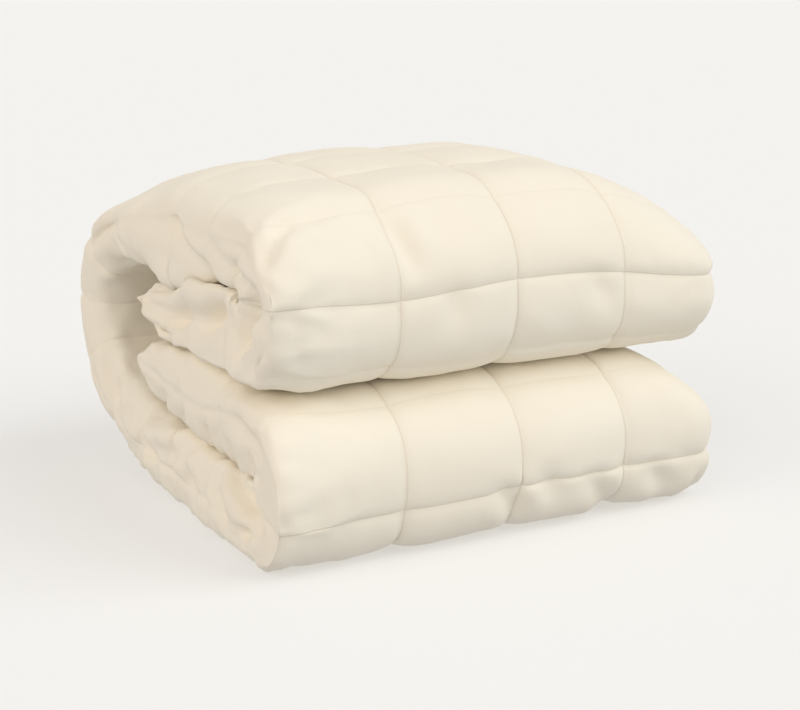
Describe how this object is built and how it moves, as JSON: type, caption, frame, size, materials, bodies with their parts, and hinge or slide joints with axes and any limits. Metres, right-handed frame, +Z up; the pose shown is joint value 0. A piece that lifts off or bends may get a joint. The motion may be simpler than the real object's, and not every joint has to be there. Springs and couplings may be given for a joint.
{
  "type": "weighted blanket",
  "caption": "Thick cream weighted blanket, quilted in square cells, folded into a bundle with both front folds tucked back inside an open back fold.",
  "frame": {"origin": "centre of the bundle's box on the surface that it rests on", "axes": "+X along the two front folds to the right, +Y from the front folds to the back fold, +Z up"},
  "size_m": [0.4334, 0.4566, 0.2978],
  "materials": {
    "cotton": "matte fine-woven cotton in warm cream, puffed between sewn quilting lines"
  },
  "bodies": {
    "root": {"quilt": "cotton"}
  },
  "joints": []
}
